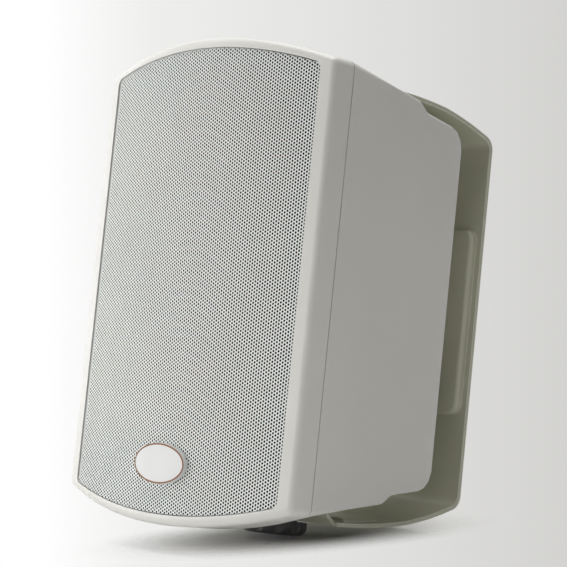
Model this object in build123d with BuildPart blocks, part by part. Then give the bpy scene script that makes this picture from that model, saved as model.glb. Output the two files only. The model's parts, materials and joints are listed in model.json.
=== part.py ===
from build123d import *
from math import cos, pi, sin, sqrt
import os

# Outdoor loudspeaker in a C-shaped wall bracket, in millimetres.
# The origin is the middle of the bracket's wall face, +Z is up and the front faces -Y.

# Drivers, whose stack sets the height of the front
flange_radius = 68.0
flange_thickness = 3.5
driver_gap = 4.0
horn_mouth_width = 98.0
horn_mouth_height = 74.0
horn_rim = 9.0
stack_margin = 6.8

# Front moulding
grille_width = 176.0
grille_crown = 12.0
grille_corner = 4.0
grille_radius = 383.0
grille_thickness = 1.0
grille_gap = 0.4
grille_sink = 0.8
side_border = 9.6
end_border = 2.5
front_round = 4.2
bezel_depth = 27.0
board_setback = 17.0
board_thickness = 5.0
foam_thickness = 2.5
foam_gap = 0.3
badge_width = 43.5
badge_height = 23.6
badge_thickness = 2.8
badge_rise = 16.4
badge_round = 0.7

# Rear moulding
seam_crown = 15.5
seam_corner = 5.0
edge_corner = 1.8
smallest_corner = 0.5
cabinet_depth = 115.0
side_taper = 0.145
height_taper = 0.13
shell_wall = 3.5
flat_crown = 0.8
crown_run = 36.0
step_start = 64.0
step_run = 12.0
step_drop = 4.4
step_facets = 6
rear_round = 14.0
rear_side_round = 3.0
round_facets = 4
seam_gap = 0.5
gasket_inset = 0.8
gasket_width = 1.8

# Bracket and clamp
pivot_depth = 66.0
swing_gap = 39.0
cabinet_lift = 3.5
arm_gap = 2.9
bracket_wall = 2.4
bracket_width = 138.0
arm_width = 124.0
arm_end_round = 4.0
arm_reach = 7.0
lip_run = 7.0
lip_rise = 5.0
arm_radius = 235.0
arm_pad_width = 112.0
arm_pad_rise = 2.5
arm_pad_setback = 3.0
arm_pad_round = 2.0
bend_round = 9.0
ear_radius = 19.0
ear_blend = 9.0
taper_start = 45.0
panel_width = 130.0
panel_height = 114.0
panel_rise = 5.0
panel_corner = 7.0
panel_round = 2.5
wall_hole_radius = 2.75
wall_hole_x = 25.0
wall_hole_margin = 21.0
stud_radius = 4.0
stud_fit = 0.05
stud_hole_gap = 0.5
stud_reach = 12.0
knob_radius = 20.0
knob_height = 9.6
knob_gap = 0.2
knob_hub = 14.0
knob_hub_height = 1.6
knob_grip_height = 3.2
knob_grips = 10
knob_grip_radius = 6.0
knob_grip_depth = 1.5
knob_skin = 2.8
washer_radius = 16.0
washer_thickness = 3.0
washer_gap = 0.1
boss_margin = 1.5
insert_wall = 3.0
insert_length = 14.0
insert_fit = 0.05
insert_boss_wall = 4.0
insert_floor = 3.5

# Woofer, as depths behind the front of the board
basket_hole_gap = 1.0
basket_depth = 36.0
basket_wall = 2.0
basket_seat = 2.0
basket_neck = 59.0
basket_land = 1.5
basket_windows = 6
window_angle = 34.0
window_height = 11.0
spider_rise = 6.0
spider_ring = 5.5
surround_land = 5.0
surround_roll = 7.4
surround_bulge = 3.6
surround_lip = 2.4
surround_thickness = 0.8
glue_gap = 0.1
cone_neck_depth = 17.0
cone_thickness = 1.4
cone_rim = 2.0
cone_flare = 2.2
cap_radius = 19.0
cap_rise = 6.0
cap_thickness = 0.8
coil_radius = 13.4
former_wall = 0.5
winding = 0.5
winding_length = 11.0
coil_length = 29.0
coil_gap = 0.5
top_plate_thickness = 5.0
top_plate_radius = 38.0
magnet_radius = 41.0
magnet_thickness = 14.0
magnet_bore = 21.0
yoke_thickness = 5.0
spider_waves = 5
spider_wave = 1.0
spider_thickness = 0.6

# Horn and tweeter
horn_wall = 2.5
horn_flange = 3.0
horn_corner = 12.0
horn_flange_gap = 0.5
horn_waist_depth = 17.0
horn_waist_width = 50.0
horn_waist_height = 42.0
horn_length = 42.0
throat_radius = 12.0
throat_flat = 0.25
tweeter_radius = 32.0
tweeter_plate_thickness = 8.0
tweeter_pocket = 4.0
tweeter_pocket_margin = 3.0
dome_thickness = 0.6
dome_rise = 3.6
tweeter_magnet_thickness = 10.0
tweeter_magnet_bore = 17.0
tweeter_yoke_thickness = 4.0
tweeter_pole_gap = 1.2

# Crossover and terminals
crossover_width = 84.0
crossover_height = 62.0
crossover_thickness = 1.6
crossover_lift = 60.0
standoff_radius = 4.0
standoff_height = 6.0
standoff_inset = 6.0
inductor_radius = 15.0
inductor_bore = 6.0
inductor_flange = 1.5
inductor_height = 14.0
capacitor_radius = 6.5
capacitor_length = 24.0
capacitor_pitch = 16.0
resistor_length = 24.0
resistor_size = 8.0
part_gap = 0.1
terminal_drop = 46.0
cup_radius = 26.0
cup_wall = 2.0
cup_fit = 0.4
cup_depth = 18.0
cup_flange = 10.0
cup_flange_thickness = 2.2
post_pitch = 22.0
post_radius = 6.5
post_length = 12.0
post_fit = 0.05
post_collar = 3.0
post_grips = 10
post_stud_radius = 2.0
post_nut_radius = 4.5
post_nut_thickness = 3.0
post_tail = 8.0

# Screws and damping
screw_radius = 1.9
screw_head_radius = 3.6
screw_head_height = 2.0
screw_fit = 0.3
screw_bite = 8.0
boss_radius = 5.5
boss_length = 18.0
boss_inset = 18.0
boss_drop = 21.0
boss_middle = 14.0
pad_thickness = 8.0
pad_height = 120.0
pad_length = 50.0
pad_start = 36.0
pad_gap = 0.3

# Sizes and places that follow from the driving dimensions
horn_flange_width = horn_mouth_width + 2 * horn_rim
horn_flange_height = horn_mouth_height + 2 * horn_rim
stack_height = 2 * flange_radius + driver_gap + horn_flange_height
grille_side_height = stack_height + 2 * stack_margin
seam_width = grille_width + 2 * grille_gap + 2 * side_border
seam_side_height = grille_side_height + 2 * grille_gap + 2 * end_border

pivot_y = pivot_depth - cabinet_depth - swing_gap
seam_y = pivot_y - pivot_depth
rear_y = seam_y + cabinet_depth
crest_y = seam_y - bezel_depth
baffle_y = seam_y - seam_gap
board_y = crest_y + board_setback
board_back_y = board_y + board_thickness
curve_axis_y = crest_y + grille_radius
beyond = 400.0

woofer_z = cabinet_lift - grille_side_height / 2 + stack_margin + flange_radius
horn_z = woofer_z + flange_radius + driver_gap + horn_flange_height / 2

plain_half_height = seam_side_height / 2 - height_taper * pivot_depth
arm_pad_z = plain_half_height + flat_crown + cabinet_lift + arm_gap
arm_inner_z = arm_pad_z + arm_pad_rise
arm_outer_z = arm_inner_z + bracket_wall
seat_z = arm_pad_z - washer_gap - washer_thickness
stud_bore = stud_radius + stud_fit
stud_passage = stud_radius + stud_hole_gap
insert_radius = stud_bore + insert_wall
insert_bore = insert_radius + insert_fit
pivot_axis = Axis((0, pivot_y, 0), (0, 0, 1))

screw_hole = screw_radius + screw_fit
boss_x = seam_width / 2 - boss_inset
boss_z = seam_side_height / 2 - boss_drop
baffle_screw_places = [
    (side * boss_x, z) for side in (-1, 1) for z in (-boss_z, boss_middle, boss_z)
]
woofer_screw_circle = (flange_radius + basket_neck + surround_land) / 2
horn_screw_x = (horn_mouth_width + horn_rim) / 2
horn_screw_z = (horn_mouth_height + horn_rim) / 2

rear_inner_y = rear_y - shell_wall
crossover_z = cabinet_lift + crossover_lift
crossover_y = rear_inner_y - standoff_height
crossover_front_y = crossover_y - crossover_thickness
standoff_x = crossover_width / 2 - standoff_inset
standoff_z = crossover_height / 2 - standoff_inset
terminal_z = cabinet_lift - terminal_drop
cup_floor_y = rear_y - cup_depth
cup_screw_circle = cup_radius + cup_flange / 2


def front_plane(y, z=cabinet_lift):
    """Plane at depth y whose sketch axes are X and Z, and whose normal points forward."""
    return Plane(origin=(0, y, z), x_dir=(1, 0, 0), z_dir=(0, -1, 0))


def driver_plane(y, z):
    """Half-section plane of a driver: sketch x runs backward from y, sketch y is the radius."""
    return Plane(origin=(0, y, z), x_dir=(0, 1, 0), z_dir=(1, 0, 0))


def driver_axis(z):
    """Axis of a driver at height z."""
    return Axis((0, 0, z), (0, 1, 0))


def end_plane(side, height):
    """Plane square to the pivot, facing outward at the top (side 1) or the bottom (side -1)."""
    return Plane(origin=(0, pivot_y, side * height), x_dir=(1, 0, 0), z_dir=(0, 0, side))


def pivot_plane(side, height):
    """Half-section plane through the pivot: sketch x is the radius, sketch y points outward."""
    return Plane(origin=(0, pivot_y, side * height), x_dir=(1, 0, 0), z_dir=(0, -side, 0))


def crowned_outline(half_width, half_height, crown, corner):
    """Rectangle with arched top and bottom edges and rounded corners."""
    with BuildLine() as outline:
        ThreePointArc((-half_width, half_height), (0, half_height + crown), (half_width, half_height))
        Line((half_width, half_height), (half_width, -half_height))
        ThreePointArc((half_width, -half_height), (0, -half_height - crown), (-half_width, -half_height))
        Line((-half_width, -half_height), (-half_width, half_height))
    make_face(outline.edges())
    fillet(vertices(), corner)


def closed_profile(*points):
    """Face inside a closed run of straight lines."""
    with BuildLine() as outline:
        Polyline(*points, close=True)
    make_face(outline.edges())


def dome_fall(base_radius, rise, radius):
    """Distance of a round dome behind its top, at a radius."""
    sphere = (base_radius**2 + rise**2) / (2 * rise)
    return sphere - sqrt(sphere**2 - radius**2)


def screw_group(plane, places, grip):
    """Pan-head screws whose heads seat on the plane and whose shanks run grip behind it."""
    with BuildPart() as screws:
        with BuildSketch(plane):
            with Locations(*places):
                Circle(screw_head_radius)
        extrude(amount=screw_head_height)
        with BuildSketch(plane):
            with Locations(*places):
                Circle(screw_radius)
        extrude(amount=-grip)
    return screws.part


def write(part, name):
    """Label a finished piece and write it as a STEP file."""
    part.label = name
    export_step(part, f"parts/{name}.step")


os.makedirs("parts", exist_ok=True)


# Rear moulding
def shell_outline(depth, inset, end_trim=0.0, side_trim=0.0):
    """Section of the shell at a depth behind the seam, drawn inset from its outer face."""
    step_share = min(1.0, max(0.0, (depth - step_start) / step_run))
    step = step_drop * (1 - cos(pi * step_share)) / 2
    fading = max(0.0, 1 - depth / crown_run)
    crown = flat_crown + (seam_crown - flat_crown) * fading
    corner = edge_corner + (seam_corner - edge_corner) * fading
    half_width = seam_width / 2 - side_taper * depth - inset - side_trim
    half_height = seam_side_height / 2 - height_taper * depth - step - inset - end_trim
    crowned_outline(half_width, half_height, crown, max(smallest_corner, corner - inset))


def shell_sections(inset):
    """Every section of the shell, from the seam to its rounded rear edges."""
    sections = []
    depths = [0.0, crown_run]
    depths += [step_start + step_run * facet / step_facets for facet in range(step_facets + 1)]
    for depth in sorted(depths):
        with BuildSketch(front_plane(seam_y + depth)) as section:
            shell_outline(depth, inset)
        sections.append(section.sketch)
    rounding = rear_round - inset
    for facet in range(round_facets + 1):
        angle = pi / 2 * facet / round_facets
        depth = cabinet_depth - rear_round + rounding * sin(angle)
        pulled = 1 - cos(angle)
        with BuildSketch(front_plane(seam_y + depth)) as section:
            shell_outline(depth, inset, rounding * pulled, rear_side_round * pulled)
        sections.append(section.sketch)
    return sections


with BuildPart() as cabinet_shell:
    loft(shell_sections(0.0), ruled=True)
    loft(shell_sections(shell_wall), ruled=True, mode=Mode.SUBTRACT)
    # Bosses for the screws that hold the front moulding, each with a web to the side wall
    with BuildSketch(front_plane(seam_y)):
        for x, z in baffle_screw_places:
            side = 1 if x > 0 else -1
            web_end = seam_width / 2 - side_taper * boss_length - shell_wall / 2
            with Locations((x, z)):
                Circle(boss_radius)
            with Locations((side * (boss_x + web_end) / 2, z)):
                Rectangle(web_end - boss_x, boss_radius)
    extrude(amount=-boss_length)
    with BuildSketch(front_plane(seam_y)):
        with Locations(*baffle_screw_places):
            Circle(screw_hole)
    extrude(amount=-screw_bite - screw_fit, mode=Mode.SUBTRACT)
    # Flat seats for the friction washers, with bosses for the threaded inserts behind them
    for side in (-1, 1):
        with BuildSketch(end_plane(side, seat_z)):
            Circle(washer_radius + boss_margin)
        extrude(amount=-(seat_z - plain_half_height + step_drop + side * -cabinet_lift + shell_wall))
        with BuildSketch(end_plane(side, seat_z)):
            Circle(washer_radius + boss_margin)
        extrude(amount=beyond, mode=Mode.SUBTRACT)
        with BuildSketch(end_plane(side, seat_z)):
            Circle(insert_bore + insert_boss_wall)
        extrude(amount=-insert_length - insert_floor)
        with BuildSketch(end_plane(side, seat_z)):
            Circle(insert_bore)
        extrude(amount=-insert_length - insert_fit, mode=Mode.SUBTRACT)
    # Stand-offs for the crossover board
    with BuildSketch(front_plane(rear_inner_y, crossover_z)):
        with GridLocations(2 * standoff_x, 2 * standoff_z, 2, 2):
            Circle(standoff_radius)
    extrude(amount=standoff_height)
    with BuildSketch(front_plane(crossover_y, crossover_z)):
        with GridLocations(2 * standoff_x, 2 * standoff_z, 2, 2):
            Circle(screw_hole)
    extrude(amount=-standoff_height, mode=Mode.SUBTRACT)
    # Opening for the terminal cup and holes for its screws
    with BuildSketch(front_plane(rear_y, terminal_z)):
        Circle(cup_radius + cup_fit)
        with PolarLocations(cup_screw_circle, 4, 45):
            Circle(screw_hole)
    extrude(amount=shell_wall, mode=Mode.SUBTRACT)
write(cabinet_shell.part, "cabinet_shell")


# Front moulding: rounded frame, driver board and screw sleeves in one piece
def grille_outline(inset):
    """Outline of the grille opening, drawn inset from the grille's own edge."""
    crowned_outline(grille_width / 2 - inset, grille_side_height / 2 - inset, grille_crown,
                    max(smallest_corner, grille_corner - inset))


def curved_slab(outer_radius, inner_radius):
    """Upright curved slab of the front, between two radii about the curve's axis."""
    with BuildSketch(Plane.XY) as slab:
        with Locations((0, curve_axis_y)):
            Circle(outer_radius)
            Circle(inner_radius, mode=Mode.SUBTRACT)
    extrude(slab.sketch, amount=beyond, both=True)


with BuildPart() as front_baffle:
    with BuildSketch(front_plane(baffle_y)):
        crowned_outline(seam_width / 2, seam_side_height / 2, seam_crown, seam_corner)
    extrude(amount=bezel_depth)
    with BuildSketch(Plane.XY):
        with Locations((0, curve_axis_y)):
            Circle(grille_radius + grille_sink)
    extrude(amount=beyond, both=True, mode=Mode.INTERSECT)
    fillet(front_baffle.faces().sort_by(Axis.Y)[0].edges(), front_round)
    with BuildSketch(front_plane(board_y)):
        grille_outline(-grille_gap)
    extrude(amount=bezel_depth, mode=Mode.SUBTRACT)
    with BuildSketch(front_plane(baffle_y)):
        crowned_outline(seam_width / 2 - shell_wall, seam_side_height / 2 - shell_wall, seam_crown,
                        max(smallest_corner, seam_corner - shell_wall))
    extrude(amount=baffle_y - board_back_y, mode=Mode.SUBTRACT)
    with BuildSketch(front_plane(baffle_y)):
        with Locations(*baffle_screw_places):
            Circle(boss_radius)
    extrude(amount=baffle_y - board_back_y)
    with BuildSketch(front_plane(baffle_y)):
        with Locations(*baffle_screw_places):
            Circle(screw_hole)
    extrude(amount=baffle_y - board_y, mode=Mode.SUBTRACT)
    with BuildSketch(front_plane(board_y, woofer_z)):
        Circle(basket_neck + basket_hole_gap)
        with PolarLocations(woofer_screw_circle, 4, 45):
            Circle(screw_hole)
    extrude(amount=-board_thickness, mode=Mode.SUBTRACT)
    with BuildSketch(front_plane(board_y, horn_z)):
        RectangleRounded(horn_mouth_width + 2 * (horn_wall + horn_flange_gap),
                         horn_mouth_height + 2 * (horn_wall + horn_flange_gap),
                         horn_corner + horn_wall)
        with GridLocations(2 * horn_screw_x, 2 * horn_screw_z, 2, 2):
            Circle(screw_hole)
    extrude(amount=-board_thickness, mode=Mode.SUBTRACT)
write(front_baffle.part, "front_baffle")

with BuildPart() as baffle_gasket:
    with BuildSketch(front_plane(seam_y)):
        crowned_outline(seam_width / 2 - gasket_inset, seam_side_height / 2 - gasket_inset, seam_crown,
                        seam_corner - gasket_inset)
        offset(amount=-gasket_width, mode=Mode.SUBTRACT)
    extrude(amount=seam_gap)
write(baffle_gasket.part, "baffle_gasket")

baffle_screws = screw_group(front_plane(board_y), baffle_screw_places,
                            seam_y - board_y + screw_bite)
write(baffle_screws, "baffle_screws")

# Grille, the foam behind it and the plain oval plate on it
with BuildPart() as grille:
    curved_slab(grille_radius, grille_radius - grille_thickness)
    with BuildSketch(front_plane(board_y)):
        grille_outline(0.0)
    extrude(amount=bezel_depth, mode=Mode.INTERSECT)
write(grille.part, "grille")

with BuildPart() as grille_foam:
    curved_slab(grille_radius - grille_thickness - foam_gap,
                grille_radius - grille_thickness - foam_gap - foam_thickness)
    with BuildSketch(front_plane(board_y)):
        grille_outline(foam_gap)
    extrude(amount=bezel_depth, mode=Mode.INTERSECT)
write(grille_foam.part, "grille_foam")

with BuildPart() as badge:
    curved_slab(grille_radius + badge_thickness, grille_radius)
    with BuildSketch(front_plane(board_y, cabinet_lift - grille_side_height / 2 + badge_rise)):
        Ellipse(badge_width / 2, badge_height / 2)
    extrude(amount=bezel_depth, mode=Mode.INTERSECT)
    fillet(badge.faces().sort_by(Axis.Y)[0].edges(), badge_round)
write(badge.part, "badge")

# Woofer: every profile is a half-section, with depth behind the board and radius
land_depth = basket_land - flange_thickness
basket_inner = basket_neck - basket_wall
seat_depth = basket_depth - basket_seat
seat_radius = top_plate_radius + basket_wall
ring_depth = seat_depth - spider_rise
wall_slope = (basket_neck - seat_radius) / seat_depth
ring_outer = basket_inner - wall_slope * ring_depth
ring_inner = ring_outer - spider_ring
pole_radius = coil_radius - former_wall - coil_gap
plate_bore = coil_radius + winding + coil_gap
woofer_plane = driver_plane(board_y, woofer_z)
woofer_axis = driver_axis(woofer_z)

with BuildPart() as woofer_basket:
    with BuildSketch(woofer_plane):
        closed_profile((-flange_thickness, flange_radius), (0, flange_radius), (0, basket_neck),
                       (seat_depth, seat_radius), (basket_depth, seat_radius),
                       (basket_depth, plate_bore), (seat_depth, plate_bore),
                       (seat_depth, ring_inner), (ring_depth, ring_inner), (ring_depth, ring_outer),
                       (0, basket_inner), (land_depth, basket_inner),
                       (land_depth, basket_neck + surround_land),
                       (-flange_thickness, basket_neck + surround_land))
    revolve(axis=woofer_axis)
    with BuildSketch(front_plane(board_y, woofer_z)):
        for window in range(basket_windows):
            start = 360 / basket_windows * window - window_angle / 2
            window_radius = (basket_inner + ring_outer) / 2
            SlotArc(CenterArc((0, 0), window_radius, start, window_angle), window_height)
    extrude(amount=-seat_depth, mode=Mode.SUBTRACT)
    with BuildSketch(front_plane(board_y, woofer_z)):
        with PolarLocations(woofer_screw_circle, 4, 45):
            Circle(screw_hole)
    extrude(amount=flange_thickness, mode=Mode.SUBTRACT)
write(woofer_basket.part, "woofer_basket")

with BuildPart() as woofer_top_plate:
    with BuildSketch(front_plane(board_y + basket_depth, woofer_z)):
        Circle(top_plate_radius)
        Circle(plate_bore, mode=Mode.SUBTRACT)
    extrude(amount=-top_plate_thickness)
write(woofer_top_plate.part, "woofer_top_plate")

magnet_depth = basket_depth + top_plate_thickness
with BuildPart() as woofer_magnet:
    with BuildSketch(front_plane(board_y + magnet_depth, woofer_z)):
        Circle(magnet_radius)
        Circle(magnet_bore, mode=Mode.SUBTRACT)
    extrude(amount=-magnet_thickness)
write(woofer_magnet.part, "woofer_magnet")

yoke_depth = magnet_depth + magnet_thickness
with BuildPart() as woofer_yoke:
    with BuildSketch(front_plane(board_y + yoke_depth, woofer_z)):
        Circle(top_plate_radius)
    extrude(amount=-yoke_thickness)
    with BuildSketch(front_plane(board_y + yoke_depth, woofer_z)):
        Circle(pole_radius)
    extrude(amount=yoke_depth - basket_depth)
    chamfer(woofer_yoke.faces().sort_by(Axis.Y)[-1].edges(), yoke_thickness / 4)
write(woofer_yoke.part, "woofer_yoke")

winding_start = basket_depth + (top_plate_thickness - winding_length) / 2
former_end = cone_neck_depth + coil_length
with BuildPart() as voice_coil:
    with BuildSketch(woofer_plane):
        closed_profile((cone_neck_depth, coil_radius - former_wall),
                       (former_end, coil_radius - former_wall),
                       (former_end, coil_radius), (winding_start + winding_length, coil_radius),
                       (winding_start + winding_length, coil_radius + winding),
                       (winding_start, coil_radius + winding), (winding_start, coil_radius),
                       (cone_neck_depth, coil_radius))
    revolve(axis=woofer_axis)
write(voice_coil.part, "voice_coil")

cone_edge = basket_inner - surround_roll + surround_lip / 2
cone_mouth = cone_edge - cone_rim
cone_hole = coil_radius + glue_gap
cone_mean = (cone_mouth + cone_hole) / 2
cone_middle = (land_depth + cone_neck_depth) / 2 - cone_flare


def cone_depth(radius):
    """Depth of the cone's front face at a radius, on the straight line from rim to neck."""
    return land_depth + (cone_neck_depth - land_depth) * (cone_mouth - radius) / (cone_mouth - cone_hole)


with BuildPart() as woofer_cone:
    with BuildSketch(woofer_plane):
        with BuildLine():
            Line((land_depth, cone_mouth), (land_depth, cone_edge))
            Line((land_depth, cone_edge), (land_depth + cone_thickness, cone_edge))
            ThreePointArc((land_depth + cone_thickness, cone_edge),
                          (cone_middle + cone_thickness, cone_mean + cone_rim / 2),
                          (cone_neck_depth + cone_thickness, cone_hole))
            Line((cone_neck_depth + cone_thickness, cone_hole), (cone_neck_depth, cone_hole))
            ThreePointArc((cone_neck_depth, cone_hole), (cone_middle, cone_mean),
                          (land_depth, cone_mouth))
        make_face()
    revolve(axis=woofer_axis)
write(woofer_cone.part, "woofer_cone")

lip_back = land_depth - glue_gap
lip_front = lip_back - surround_thickness
roll_inner = cone_edge + glue_gap
roll_outer = basket_inner
roll_mean = (roll_inner + roll_outer) / 2
surround_edge = basket_neck + surround_land - glue_gap
with BuildPart() as woofer_surround:
    with BuildSketch(woofer_plane):
        with BuildLine():
            Polyline((lip_front, roll_inner), (lip_front, roll_inner - surround_lip),
                     (lip_back, roll_inner - surround_lip), (lip_back, roll_inner + surround_thickness))
            ThreePointArc((lip_back, roll_inner + surround_thickness),
                          (lip_front - surround_bulge + surround_thickness, roll_mean),
                          (lip_back, roll_outer - surround_thickness))
            Polyline((lip_back, roll_outer - surround_thickness), (lip_back, surround_edge),
                     (lip_front, surround_edge), (lip_front, roll_outer))
            ThreePointArc((lip_front, roll_outer), (lip_front - surround_bulge, roll_mean),
                          (lip_front, roll_inner))
        make_face()
    revolve(axis=woofer_axis)
write(woofer_surround.part, "woofer_surround")

cap_seat = cone_depth(cap_radius) - cone_flare - glue_gap
cap_front = cap_seat - cap_rise
cap_back = cap_front + cap_thickness
cap_inner = cap_radius - cap_thickness
with BuildPart() as dust_cap:
    with BuildSketch(woofer_plane):
        with BuildLine():
            ThreePointArc((cap_seat, cap_radius),
                          (cap_front + dome_fall(cap_radius, cap_rise, cap_radius / 2), cap_radius / 2),
                          (cap_front, 0))
            Line((cap_front, 0), (cap_back, 0))
            ThreePointArc((cap_back, 0),
                          (cap_back + dome_fall(cap_inner, cap_seat - cap_back, cap_inner / 2),
                           cap_inner / 2),
                          (cap_seat, cap_inner))
            Line((cap_seat, cap_inner), (cap_seat, cap_radius))
        make_face()
    revolve(axis=woofer_axis)
write(dust_cap.part, "dust_cap")

spider_inner = coil_radius + glue_gap
spider_pitch = (ring_inner - spider_inner) / (2 * spider_waves)
spider_back = ring_depth - glue_gap
spider_line = [
    (spider_back - (spider_wave if wave % 2 else 0), spider_inner + spider_pitch * wave)
    for wave in range(2 * spider_waves + 1)
] + [(spider_back, ring_outer - glue_gap)]
with BuildPart() as woofer_spider:
    with BuildSketch(woofer_plane):
        spider_front = [(depth - spider_thickness, radius) for depth, radius in reversed(spider_line)]
        closed_profile(*spider_line, *spider_front)
    revolve(axis=woofer_axis)
write(woofer_spider.part, "woofer_spider")

woofer_screws = screw_group(
    front_plane(board_y - flange_thickness, woofer_z),
    [Vector(woofer_screw_circle, 0).rotate(Axis.Z, 45 + 90 * corner) for corner in range(4)],
    flange_thickness + screw_bite,
)
write(woofer_screws, "woofer_screws")


# Horn and its compression tweeter
def horn_section(depth, width, height, corner):
    """Rounded rectangular section of the horn at a depth behind the board's front."""
    with BuildSketch(front_plane(board_y + depth, horn_z)) as section:
        RectangleRounded(width, height, corner)
    return section.sketch


def horn_flare(wall, front):
    """Sections of the flare, drawn outside its inner face by a wall, from front to throat."""
    throat = 2 * (throat_radius + wall)
    return [
        horn_section(front, horn_mouth_width + 2 * wall, horn_mouth_height + 2 * wall,
                     horn_corner + wall),
        horn_section(horn_waist_depth, horn_waist_width + 2 * wall, horn_waist_height + 2 * wall,
                     horn_corner + wall),
        horn_section(horn_length, throat, throat, throat / 2 - throat_flat),
    ]


with BuildPart() as tweeter_horn:
    with BuildSketch(front_plane(board_y, horn_z)):
        RectangleRounded(horn_flange_width, horn_flange_height, horn_corner + horn_rim / 2)
        with GridLocations(2 * horn_screw_x, 2 * horn_screw_z, 2, 2):
            Circle(screw_hole, mode=Mode.SUBTRACT)
    extrude(amount=horn_flange)
    loft(horn_flare(horn_wall, 0.0))
    loft(horn_flare(0.0, -horn_flange), mode=Mode.SUBTRACT)
write(tweeter_horn.part, "tweeter_horn")

horn_screws = screw_group(
    front_plane(board_y - horn_flange, horn_z),
    [(side * horn_screw_x, end * horn_screw_z) for side in (-1, 1) for end in (-1, 1)],
    horn_flange + screw_bite,
)
write(horn_screws, "horn_screws")

tweeter_plane = driver_plane(board_y + horn_length, horn_z)
tweeter_axis = driver_axis(horn_z)
pocket_depth = tweeter_plate_thickness - tweeter_pocket
pocket_radius = throat_radius + tweeter_pocket_margin
with BuildPart() as tweeter_plate:
    with BuildSketch(tweeter_plane):
        closed_profile((0, throat_radius), (0, tweeter_radius), (tweeter_plate_thickness, tweeter_radius),
                       (tweeter_plate_thickness, pocket_radius), (pocket_depth, pocket_radius),
                       (pocket_depth, throat_radius))
    revolve(axis=tweeter_axis)
write(tweeter_plate.part, "tweeter_plate")

dome_front = pocket_depth + glue_gap
dome_back = dome_front + dome_thickness
dome_radius = throat_radius - glue_gap
dome_inner = dome_radius - dome_thickness
with BuildPart() as tweeter_diaphragm:
    with BuildSketch(tweeter_plane):
        with BuildLine():
            Polyline((dome_front, dome_radius), (dome_front, pocket_radius - glue_gap),
                     (dome_back, pocket_radius - glue_gap), (dome_back, dome_inner))
            ThreePointArc((dome_back, dome_inner),
                          (dome_back - dome_rise + dome_fall(dome_inner, dome_rise, dome_inner / 2),
                           dome_inner / 2),
                          (dome_back - dome_rise, 0))
            Line((dome_back - dome_rise, 0), (dome_front - dome_rise, 0))
            ThreePointArc((dome_front - dome_rise, 0),
                          (dome_front - dome_rise + dome_fall(dome_radius, dome_rise, dome_radius / 2),
                           dome_radius / 2),
                          (dome_front, dome_radius))
        make_face()
    revolve(axis=tweeter_axis)
write(tweeter_diaphragm.part, "tweeter_diaphragm")

tweeter_magnet_end = tweeter_plate_thickness + tweeter_magnet_thickness
with BuildPart() as tweeter_magnet:
    with BuildSketch(tweeter_plane):
        closed_profile((tweeter_plate_thickness, tweeter_magnet_bore),
                       (tweeter_plate_thickness, tweeter_radius),
                       (tweeter_magnet_end, tweeter_radius), (tweeter_magnet_end, tweeter_magnet_bore))
    revolve(axis=tweeter_axis)
write(tweeter_magnet.part, "tweeter_magnet")

tweeter_pole_start = dome_back + tweeter_pole_gap
tweeter_end = tweeter_magnet_end + tweeter_yoke_thickness
with BuildPart() as tweeter_yoke:
    with BuildSketch(tweeter_plane):
        closed_profile((tweeter_pole_start, 0), (tweeter_pole_start, throat_radius - glue_gap),
                       (tweeter_magnet_end, throat_radius - glue_gap),
                       (tweeter_magnet_end, tweeter_radius),
                       (tweeter_end, tweeter_radius), (tweeter_end, 0))
    revolve(axis=tweeter_axis)
write(tweeter_yoke.part, "tweeter_yoke")

# Crossover board and what is soldered to it
with BuildPart() as crossover_board:
    with BuildSketch(front_plane(crossover_y, crossover_z)):
        Rectangle(crossover_width, crossover_height)
        with GridLocations(2 * standoff_x, 2 * standoff_z, 2, 2):
            Circle(screw_hole, mode=Mode.SUBTRACT)
    extrude(amount=crossover_thickness)
write(crossover_board.part, "crossover_board")

board_screws = screw_group(
    front_plane(crossover_front_y, crossover_z),
    [(side * standoff_x, end * standoff_z) for side in (-1, 1) for end in (-1, 1)],
    crossover_thickness + standoff_height - part_gap,
)
write(board_screws, "board_screws")

inductor_x = -crossover_width / 4
with BuildPart() as crossover_inductor:
    with BuildSketch(front_plane(crossover_front_y, crossover_z)):
        with Locations((inductor_x, 0)):
            Circle(inductor_radius)
            Circle(inductor_bore, mode=Mode.SUBTRACT)
    extrude(amount=inductor_height)
    with BuildSketch(front_plane(crossover_front_y - inductor_flange, crossover_z)):
        with Locations((inductor_x, 0)):
            Circle(inductor_radius)
            Circle(inductor_radius - inductor_flange, mode=Mode.SUBTRACT)
    extrude(amount=inductor_height - 2 * inductor_flange, mode=Mode.SUBTRACT)
write(crossover_inductor.part, "crossover_inductor")

parts_x = crossover_width / 4
capacitor_y = crossover_front_y - part_gap - capacitor_radius
with BuildPart() as crossover_capacitors:
    for row in (-1, 0):
        with BuildSketch(Plane.YZ.offset(parts_x - capacitor_length / 2)):
            with Locations((capacitor_y, crossover_z + capacitor_pitch * row)):
                Circle(capacitor_radius)
        extrude(amount=capacitor_length)
write(crossover_capacitors.part, "crossover_capacitors")

with BuildPart() as crossover_resistor:
    with BuildSketch(front_plane(crossover_front_y, crossover_z)):
        with Locations((parts_x, capacitor_pitch)):
            Rectangle(resistor_length, resistor_size)
    extrude(amount=resistor_size)
    chamfer(crossover_resistor.edges().filter_by(Axis.X), resistor_size / 10)
write(crossover_resistor.part, "crossover_resistor")

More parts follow.
